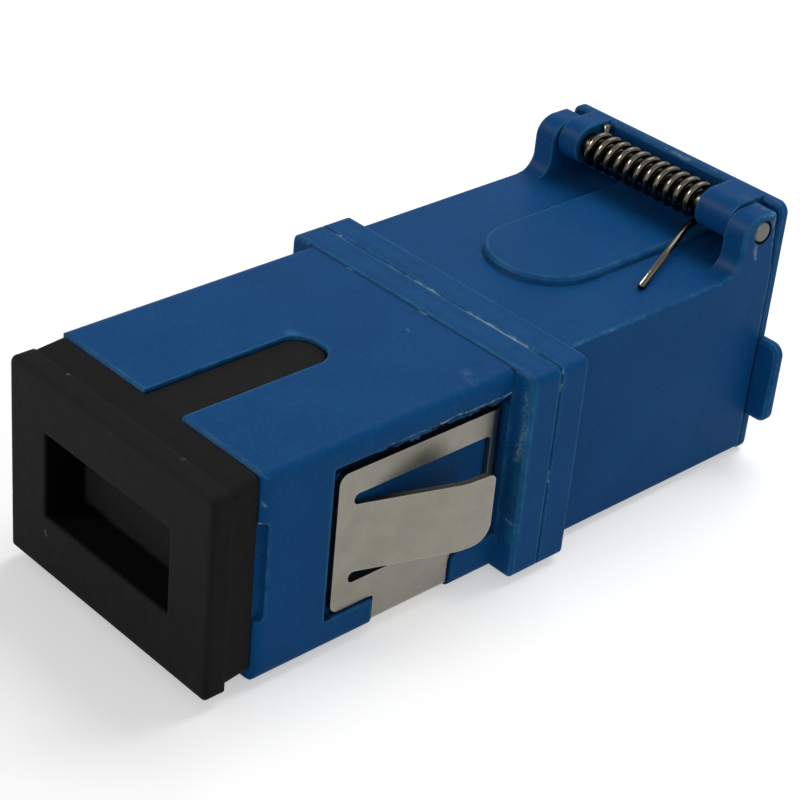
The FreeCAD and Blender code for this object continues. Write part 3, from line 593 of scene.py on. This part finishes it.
def cap_plastic(finish):
    """Black plastic: front face and recess floor lightened as painted light, painted shade on
    the recess walls and in gaps, edges lighter from wear and a painted highlight, eroded grain,
    a few pale specks.
    """
    material, tree = new_material("Cap Black Plastic")
    point = millimetres(tree)
    mottle = tree.span(tree.noise(point, 1.4, detail=4.0, rough=0.6), 0.3, 0.7)
    fine = tree.noise(point, 11.0, detail=3.0, rough=0.6)
    base = tree.blend(mottle, finish.cap, tinted(finish.cap, 1.3))
    base = tree.blend(tree.span(fine, 0.45, 0.8, top=0.7), base, tinted(finish.cap, 1.8))
    across, (floor_y, _), upright = CAP_RECESS
    face = inside(tree, point, (None, (CAP_FACE_Y - 1, CAP_FACE_Y + 0.03), None), soft=0.05)
    floor = inside(tree, point, (across, (floor_y - 0.03, floor_y + 1), upright))
    # Painted light: the front face is made lighter, more so towards the top.
    upper = tree.span(tree.split(point)[2], -4.5, 4.5, bottom=0.05, top=0.75)
    base = tree.blend(tree.maths("MULTIPLY", face, upper), base, tinted(finish.cap, 2.1))
    # Painted light on the recess floor.
    base = tree.blend(tree.maths("MULTIPLY", floor, 0.8), base, tinted(finish.cap, 2.8))
    # Painted shade: the recess walls and the cap's gaps are made near black.
    wider = 1.03
    shaft = (tuple(x * wider for x in across), (floor_y - 0.08, CAP_FACE_Y + 0.1),
             tuple(z * wider for z in upright))
    base = tree.blend(inside(tree, point, shaft), base, SHADE_BLACK)
    open_face = tree.openness(finish.gap)
    base = tree.blend(tree.span(open_face, 0.6, 0.12), base, SHADE_BLACK)
    edge, rounded = tree.edges(finish.cap_radius)
    # Lighter cap edges: partly wear, partly a painted highlight along the rounded edges.
    rubbed_and_highlit = tree.maths("MULTIPLY", edge, tree.span(open_face, 0.55, 0.95, top=0.25))
    base = tree.blend(rubbed_and_highlit, base, tinted(finish.cap, 2.2))
    base = tree.blend(marks_mask(tree, point, CAP_SPECKS), base, CAP_SPECK)
    height = tree.maths("ADD", fine, mottle)
    tree.principled({
        "Base Color": base, "Roughness": tree.span(fine, 0.3, 0.7, bottom=0.55, top=0.7),
        "IOR": 1.45, "Specular IOR Level": 0.04,
        "Normal": tree.bump(height, depth=0.000012, strength=0.8, normal=rounded)})
    return material


def insert_plastic(finish):
    """Cream insert plastic, faintly mottled."""
    material, tree = new_material("Insert Cream Plastic")
    point = millimetres(tree)
    mottle = tree.span(tree.noise(point, 1.1, detail=3.0), 0.35, 0.65)
    base = tree.blend(mottle, finish.insert, tinted(finish.insert, 0.9))
    grain = tree.noise(point, 8.0, detail=3.0)
    tree.principled({
        "Base Color": base, "Roughness": tree.span(mottle, 0.0, 1.0, bottom=0.4, top=0.5),
        "IOR": 1.48, "Normal": tree.bump(grain, depth=0.000008, strength=0.5)})
    return material


def sleeve_ceramic():
    """Ground white zirconia with faint rings from the grinding."""
    material, tree = new_material("Sleeve Ceramic")
    point = millimetres(tree)
    squeezed = tree.vector("MULTIPLY", point, (0.6, 14.0, 0.6))
    rings = tree.noise(squeezed, 1.0, detail=3.0)
    base = tree.blend(tree.span(rings, 0.3, 0.7), CERAMIC, CERAMIC_RING)
    tree.principled({
        "Base Color": base, "Roughness": tree.span(rings, 0.3, 0.7, bottom=0.12, top=0.22),
        "IOR": 1.9, "Normal": tree.bump(rings, depth=0.000002, strength=0.5)})
    return material


def flash_plastic(finish):
    """Whitened blue plastic that squeezed out of the weld."""
    material, tree = new_material("Weld Flash Plastic")
    point = millimetres(tree)
    patchy = tree.span(tree.noise(point, 4.0, detail=3.0, rough=0.6), 0.38, 0.62)
    halfway = tuple((a + b) / 2 for a, b in zip(finish.stress, finish.edge))
    base = tree.blend(patchy, halfway, finish.stress)
    grain = tree.noise(point, 18.0, detail=3.0)
    tree.principled({
        "Base Color": base, "Roughness": tree.span(patchy, 0.0, 1.0, bottom=0.35, top=0.55),
        "IOR": 1.45, "Specular IOR Level": 0.2,
        "Normal": tree.bump(grain, depth=0.000008, strength=0.6)})
    return material


def satin_steel(name, colour, rough, stretch, depth):
    """Rolled or drawn steel: fine lines and soft smudges."""
    material, tree = new_material(name)
    point = millimetres(tree)
    stretched = tree.vector("MULTIPLY", point, stretch)
    lines = tree.noise(stretched, 1.0, detail=4.0, rough=0.6)
    smudge = tree.span(tree.noise(point, 0.9, detail=3.0), 0.3, 0.7)
    base = tree.blend(smudge, colour, tinted(colour, 0.9))
    base = tree.blend(tree.span(lines, 0.35, 0.75, top=0.4), base, tinted(colour, 1.15))
    spread = tree.span(smudge, 0.0, 1.0, bottom=rough, top=rough + 0.08)
    shader = tree.principled({
        "Base Color": base, "Metallic": 1.0, "Roughness": spread,
        "Normal": tree.bump(lines, depth, strength=0.5)})
    return material, tree, base, shader


def clip_steel(colour):
    """Satin strip with painted highlights on its corners and edges, and dark sheared edges."""
    material, tree, base, shader = satin_steel(
        "Clip Satin Steel", colour, rough=0.30, stretch=(18.0, 1.4, 18.0), depth=0.000002)
    normal = tree.split(tree.add("ShaderNodeNewGeometry").outputs["Normal"])
    level = tree.span(tree.maths("ABSOLUTE", normal[2]), 0.8, 0.97)
    sides = inside(tree, millimetres(tree), (None, None, (-3.8, 5.0)))
    base = tree.blend(tree.product(level, sides, 0.75), base, CLIP_SHEARED)
    # Painted highlight on the clip's edges and corners.
    edge = tree.maths("MULTIPLY", tree.edges(radius=0.00006)[0], 0.5)
    tree.links.new(tree.blend(edge, base, tinted(colour, 2.2)), shader.inputs["Base Color"])
    return material


def pin_steel(colour):
    """Drawn pin: bright end, painted shade on its rim and on its middle inside the coil."""
    material, tree, base, shader = satin_steel(
        "Pin Steel", colour, rough=0.26, stretch=(2.0, 14.0, 14.0), depth=0.000004)
    point = millimetres(tree)
    # Painted shade on the middle inside the coil and on the rim round the end.
    middle = inside(tree, point, ((-5.0, 5.0), None, None))
    rim = pin_ring(tree, point, inner=0.45, outer=0.6)
    dark = tree.strongest(middle, tree.maths("MULTIPLY", rim, 0.85))
    tree.links.new(tree.blend(dark, base, PIN_SHADE), shader.inputs["Base Color"])
    return material


def wire_steel(colour):
    """Hard-drawn wire, with painted shade on the inside of the coil and where turns face each
    other.
    """
    material, tree, base, shader = satin_steel(
        "Spring Wire Steel", colour, rough=0.16, stretch=(7.0, 7.0, 7.0), depth=0.000002)
    # Painted shade on the inside of the coil and between the turns.
    deep = pin_ring(tree, millimetres(tree), inner=0.0, outer=0.63, soft=0.04)
    near = tree.span(tree.openness(distance=0.00025), 0.5, 0.1, top=0.8)
    dark = tree.strongest(deep, near)
    tree.links.new(tree.blend(dark, base, COIL_SHADE), shader.inputs["Base Color"])
    return material


# ---------------------------------------------------------------- mesh helpers
def new_piece(name, mesh_points, faces, material, smooth=True):
    """Mesh object from points and faces."""
    mesh = bpy.data.meshes.new(name)
    mesh.from_pydata([tuple(p) for p in mesh_points], [], faces)
    mesh.validate()
    for polygon in mesh.polygons:
        polygon.use_smooth = smooth
    mesh.materials.append(material)
    piece = bpy.data.objects.new(name, mesh)
    bpy.context.scene.collection.objects.link(piece)
    return piece


def tube(path, radii, sides):
    """Points and faces of a closed round tube along a path."""
    points = []
    faces = []
    side = None
    last = len(path) - 1
    for i, here in enumerate(path):
        ahead = (path[min(i + 1, last)] - path[max(i - 1, 0)]).normalized()
        if side is None:
            side = ahead.orthogonal().normalized()
        side = (side - ahead * side.dot(ahead)).normalized()
        other = ahead.cross(side)
        for k in range(sides):
            angle = 2 * math.pi * k / sides
            points.append(here + (side * math.cos(angle) + other * math.sin(angle)) * radii[i])
    for i in range(last):
        for k in range(sides):
            a = i * sides + k
            b = i * sides + (k + 1) % sides
            faces.append((a, b, b + sides, a + sides))
    faces.append(tuple(range(sides - 1, -1, -1)))
    faces.append(tuple(range(last * sides, (last + 1) * sides)))
    return points, faces


def joined(meshes):
    """Points and faces of several meshes as one."""
    points = []
    faces = []
    for more_points, more_faces in meshes:
        first = len(points)
        points.extend(more_points)
        faces.extend(tuple(first + i for i in face) for face in more_faces)
    return points, faces


def bead(start, end, half_width, cover, strand):
    """Thin uneven beads along a line in millimetres, with bare stretches between them."""
    start = Vector(start)
    end = Vector(end)
    shift = Vector((0, 0, 5.7 * strand))
    steps = max(6, round((end - start).length / BEAD_STEP))
    meshes = []
    path = []
    radii = []
    for i in range(steps + 1):
        place = start.lerp(end, i / steps)
        ends = min(1.0, 6 * min(i, steps - i) / steps)
        swell = (0.42 + 0.8 * noise.noise(place * 2.1 + shift)
                 + 0.6 * noise.noise(place * 8.0 + shift))
        thick = half_width * ends * (swell - 0.55 * (1 - cover))
        if thick > BEAD_THINNEST:
            sway = (0.10 * noise.noise(place * 1.9 + shift)
                    + 0.05 * noise.noise(place * 6.1 + shift))
            path.append((place + Vector((0, sway, 0))) * MM)
            radii.append(min(thick, BEAD_THICKEST) * MM)
        if (thick <= BEAD_THINNEST or i == steps) and path:
            if len(path) > 2:
                radii[0] = radii[-1] = BEAD_TIP * MM
                meshes.append(tube(path, radii, BEAD_SIDES))
            path = []
            radii = []
    return joined(meshes)


# ---------------------------------------------------------------- operators
class ADAPTER_OT_studio(bpy.types.Operator):
    """Build the floor, the lamps, the room light and the camera"""

    bl_idname = "adapter.studio"
    bl_label = "Studio"

    def execute(self, context):
        """Make the stage."""
        studio = context.scene.adapter_studio
        scene = context.scene
        scene.view_settings.view_transform = "Standard"
        camera_data = bpy.data.cameras.new("Camera")
        camera_data.lens = studio.lens
        camera_data.sensor_width = SENSOR
        camera_data.clip_start = CLIP_START
        camera_data.clip_end = CLIP_END
        camera = bpy.data.objects.new("Camera", camera_data)
        camera.location = studio.eye
        camera.rotation_euler = Euler(studio.turn)
        scene.collection.objects.link(camera)
        scene.camera = camera
        world = scene.world or bpy.data.worlds.new("Room")
        scene.world = world
        world.use_nodes = True
        world.node_tree.nodes.clear()
        tree = Tree(world.node_tree)
        strength = tree.maths("ADD", studio.sky,
                              tree.maths("MULTIPLY", tree.seen(), 1.0 - studio.sky))
        back = tree.add("ShaderNodeBackground", {"Color": (1, 1, 1, 1), "Strength": strength})
        tree.add("ShaderNodeOutputWorld", {"Surface": back.outputs[0]})
        self.floor()
        self.lamp("Key", studio.key, place=(-0.02, 0.20, 0.34), size=0.24)
        self.lamp("Fill", studio.fill, place=(0.32, -0.02, 0.14), size=0.22)
        self.lamp("Front", studio.front, place=(0.04, -0.34, 0.07), size=0.25)
        glint = self.lamp("Glint", studio.glint, place=(-0.16, -0.235, 0.25), size=0.12)
        glint.visible_diffuse = False
        return {"FINISHED"}

    def floor(self):
        """Pale floor that keeps the soft shadow and reads as white in the open."""
        material, tree = new_material("Floor")
        speckle = tree.noise(millimetres(tree), 0.02)
        pale = tree.blend(tree.span(speckle, 0.3, 0.7), FLOOR_PALE, FLOOR_SHADE)
        matte = tree.add("ShaderNodeBsdfDiffuse", {"Color": pale})
        glow = tree.add("ShaderNodeEmission", {
            "Color": (1, 1, 1, 1),
            "Strength": tree.maths("MULTIPLY", tree.seen(), FLOOR_GLOW)})
        both = tree.add("ShaderNodeAddShader", {0: matte.outputs[0], 1: glow.outputs[0]})
        tree.add("ShaderNodeOutputMaterial", {"Surface": both.outputs[0]})
        z = CAD_BOX[0][2] - FLOOR_GAP
        points = [(x * FLOOR_HALF, y * FLOOR_HALF, z)
                  for x, y in ((-1, -1), (1, -1), (1, 1), (-1, 1))]
        new_piece("Floor", points, [(0, 1, 2, 3)], material, smooth=False)

    def lamp(self, name, power, place, size):
        """Square soft lamp aimed at the part."""
        data = bpy.data.lights.new(name, "AREA")
        data.energy = power
        data.size = size
        lamp = bpy.data.objects.new(name, data)
        lamp.location = place
        lamp.rotation_euler = Vector(place).to_track_quat("Z", "Y").to_euler()
        bpy.context.scene.collection.objects.link(lamp)
        return lamp


class ADAPTER_OT_plastics(bpy.types.Operator):
    """Finish the housings, the shutter, the cap and the inserts"""

    bl_idname = "adapter.plastics"
    bl_label = "Plastics"

    def execute(self, context):
        """Assign the plastics."""
        finish = context.scene.adapter_plastic
        finish_nodes(HOUSINGS, body_plastic(finish))
        finish_nodes(("dust_cap",), cap_plastic(finish))
        finish_nodes(("front_latch_insert", "rear_latch_insert"), insert_plastic(finish))
        finish_nodes(("alignment_sleeve",), sleeve_ceramic())
        return {"FINISHED"}


class ADAPTER_OT_steels(bpy.types.Operator):
    """Finish the clip and the hinge pin"""

    bl_idname = "adapter.steels"
    bl_label = "Steels"

    def execute(self, context):
        """Assign the steels."""
        steel = context.scene.adapter_steel
        finish_nodes(("mounting_clip",), clip_steel(steel.clip))
        finish_nodes(("hinge_pin",), pin_steel(steel.pin))
        return {"FINISHED"}


class ADAPTER_OT_weld(bpy.types.Operator):
    """Lay the weld flash in the seam and the burr on the recess edge"""

    bl_idname = "adapter.weld"
    bl_label = "Weld Flash and Burr"

    def execute(self, context):
        """Lay the beads and hang the burr."""
        finish = context.scene.adapter_plastic
        material = flash_plastic(finish)
        beads = [bead(start, end, width * share, cover, strand)
                 for start, end, width, cover, _ in FLASH
                 for strand, share in enumerate(BEAD_STRANDS)]
        flash = new_piece("weld_flash", *joined(beads), material)
        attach(flash, "adapter")
        burr = new_piece("recess_burr", *self.burr(), bpy.data.materials["Body Blue Plastic"])
        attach(burr, "adapter")
        return {"FINISHED"}

    def burr(self):
        """Ragged lip that hangs a little way over the clip's recess."""
        front, back = BURR_Y
        inner = SIDE_X - BURR_THICK
        top = POCKET_TOP + 0.01
        points = []
        faces = []
        for i in range(BURR_STATIONS + 1):
            y = front + (back - front) * i / BURR_STATIONS
            ends = min(1.0, 10 * min(i, BURR_STATIONS - i) / BURR_STATIONS)
            ragged = (0.6 + noise.noise(Vector((y * 1.4, 3.0, 0)))
                      + 0.7 * noise.noise(Vector((y * 5.5, 7.0, 0))))
            drop = BURR_LEAST + BURR_DROP * ends * max(0.1, ragged)
            for x, z in ((SIDE_X, top), (SIDE_X, POCKET_TOP - drop),
                         (inner, POCKET_TOP - drop * 0.8), (inner, top)):
                points.append(Vector((x, y, z)) * MM)
        for i in range(BURR_STATIONS):
            for k in range(4):
                a = 4 * i + k
                b = 4 * i + (k + 1) % 4
                faces.append((a, a + 4, b + 4, b))
        faces.append((0, 1, 2, 3))
        faces.append(tuple(4 * BURR_STATIONS + k for k in (3, 2, 1, 0)))
        return points, faces


class ADAPTER_OT_spring(bpy.types.Operator):
    """Wind the round wire of the shutter spring"""

    bl_idname = "adapter.spring"
    bl_label = "Shutter Spring"

    def execute(self, context):
        """Wind the coil and draw both legs."""
        wire = context.scene.adapter_wire
        steel = context.scene.adapter_steel
        low, high = SPRING
        first = low.x + wire.radius
        tip = Vector((high.x - wire.radius, low.y, low.z + wire.radius))
        last = tip.x - wire.spread
        reach = HINGE.y - tip.y
        down = HINGE.z - tip.z
        slope = math.atan2(down, reach)
        lead = math.asin(wire.coil / math.hypot(down, reach))
        turn = 2 * math.pi * wire.turns + math.pi / 2 + lead - slope
        steps = round(turn / (2 * math.pi) * TURN_STEPS)
        start = Vector((first, HINGE.y + wire.coil, high.z))
        path = [start, start.lerp(Vector((first, HINGE.y + wire.coil, HINGE.z)), 0.5)]
        uneven, waves = WOBBLE
        for i in range(steps + 1):
            angle = -turn * i / steps
            radius = wire.coil * (1.0 + uneven * math.sin(angle * waves))
            path.append(Vector((
                first + (last - first) * i / steps,
                HINGE.y + radius * math.cos(angle),
                HINGE.z + radius * math.sin(angle))))
        away = Vector((0, tip.y - path[-1].y, tip.z - path[-1].z)).normalized()
        corner = path[-1] + away * wire.straight
        for _ in range(6):
            path.append(path[-1].lerp(corner, 0.35))
        before = path.pop()
        beyond = corner + (tip - corner).normalized() * BEND_RUN
        for k in range(1, BEND_STEPS + 1):
            share = k / BEND_STEPS
            path.append(before.lerp(corner, share).lerp(corner.lerp(beyond, share), share))
        path.append(tip)
        points, faces = tube(path, [wire.radius * WIRE_SLACK] * len(path), WIRE_SIDES)
        piece = new_piece("spring_wire", points, faces, wire_steel(steel.wire))
        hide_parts("shutter_spring")
        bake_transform(piece)
        return {"FINISHED"}


class ADAPTER_PT_panel(bpy.types.Panel):
    """Sidebar panel with the steps and their values"""

    bl_idname = "ADAPTER_PT_panel"
    bl_label = "SC Adapter Looks"
    bl_space_type = "VIEW_3D"
    bl_region_type = "UI"
    bl_category = "Adapter"

    def draw(self, context):
        """List the operators and the values."""
        layout = self.layout
        for operator in OPERATORS:
            layout.operator(operator.bl_idname)
        for name in ("adapter_plastic", "adapter_steel", "adapter_wire", "adapter_studio"):
            group = getattr(context.scene, name)
            column = layout.column(align=True)
            for key in group.bl_rna.properties.keys():
                if key not in ("rna_type", "name"):
                    column.prop(group, key)


GROUPS = {
    "adapter_plastic": PlasticFinish,
    "adapter_steel": SteelFinish,
    "adapter_wire": SpringWire,
    "adapter_studio": StudioSettings,
}
OPERATORS = (
    ADAPTER_OT_studio,
    ADAPTER_OT_plastics,
    ADAPTER_OT_steels,
    ADAPTER_OT_weld,
    ADAPTER_OT_spring,
)


def register():
    """Register the classes and the scene's values."""
    for cls in (*GROUPS.values(), *OPERATORS, ADAPTER_PT_panel):
        bpy.utils.register_class(cls)
    for name, cls in GROUPS.items():
        setattr(bpy.types.Scene, name, PointerProperty(type=cls))


def unregister():
    """Undo register."""
    for name in GROUPS:
        delattr(bpy.types.Scene, name)
    for cls in (ADAPTER_PT_panel, *reversed(OPERATORS), *reversed(GROUPS.values())):
        bpy.utils.unregister_class(cls)


def main():
    """Run every step in order."""
    register()
    for operator in OPERATORS:
        group, name = operator.bl_idname.split(".")
        getattr(getattr(bpy.ops, group), name)()


if __name__ == "__main__":
    main()
